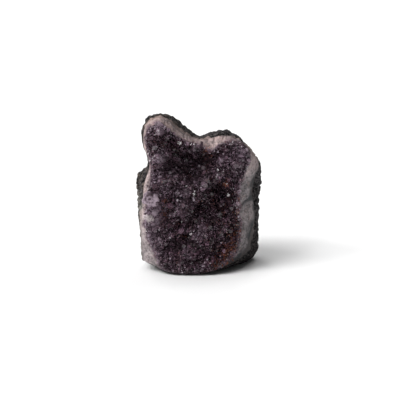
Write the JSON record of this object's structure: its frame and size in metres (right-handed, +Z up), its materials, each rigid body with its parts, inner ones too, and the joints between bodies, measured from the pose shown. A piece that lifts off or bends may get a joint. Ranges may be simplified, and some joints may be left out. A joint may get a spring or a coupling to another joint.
{
  "type": "amethyst chunk",
  "caption": "Chunk of amethyst geode standing on its sawn base: a dark basalt rind lined with a crust of pale quartz and purple crystal points.",
  "frame": {"origin": "on the floor, under the middle of the chunk's box", "axes": "+Z up, the crystal face towards -Y, +X to the right when looking at the crystals"},
  "size_m": [0.1553, 0.1006, 0.1929],
  "materials": {
    "basalt": "matte",
    "quartz": "matte",
    "amethyst": "gloss"
  },
  "bodies": {
    "root": {"basalt_rind": "basalt", "quartz_crust": "amethyst"}
  },
  "joints": []
}
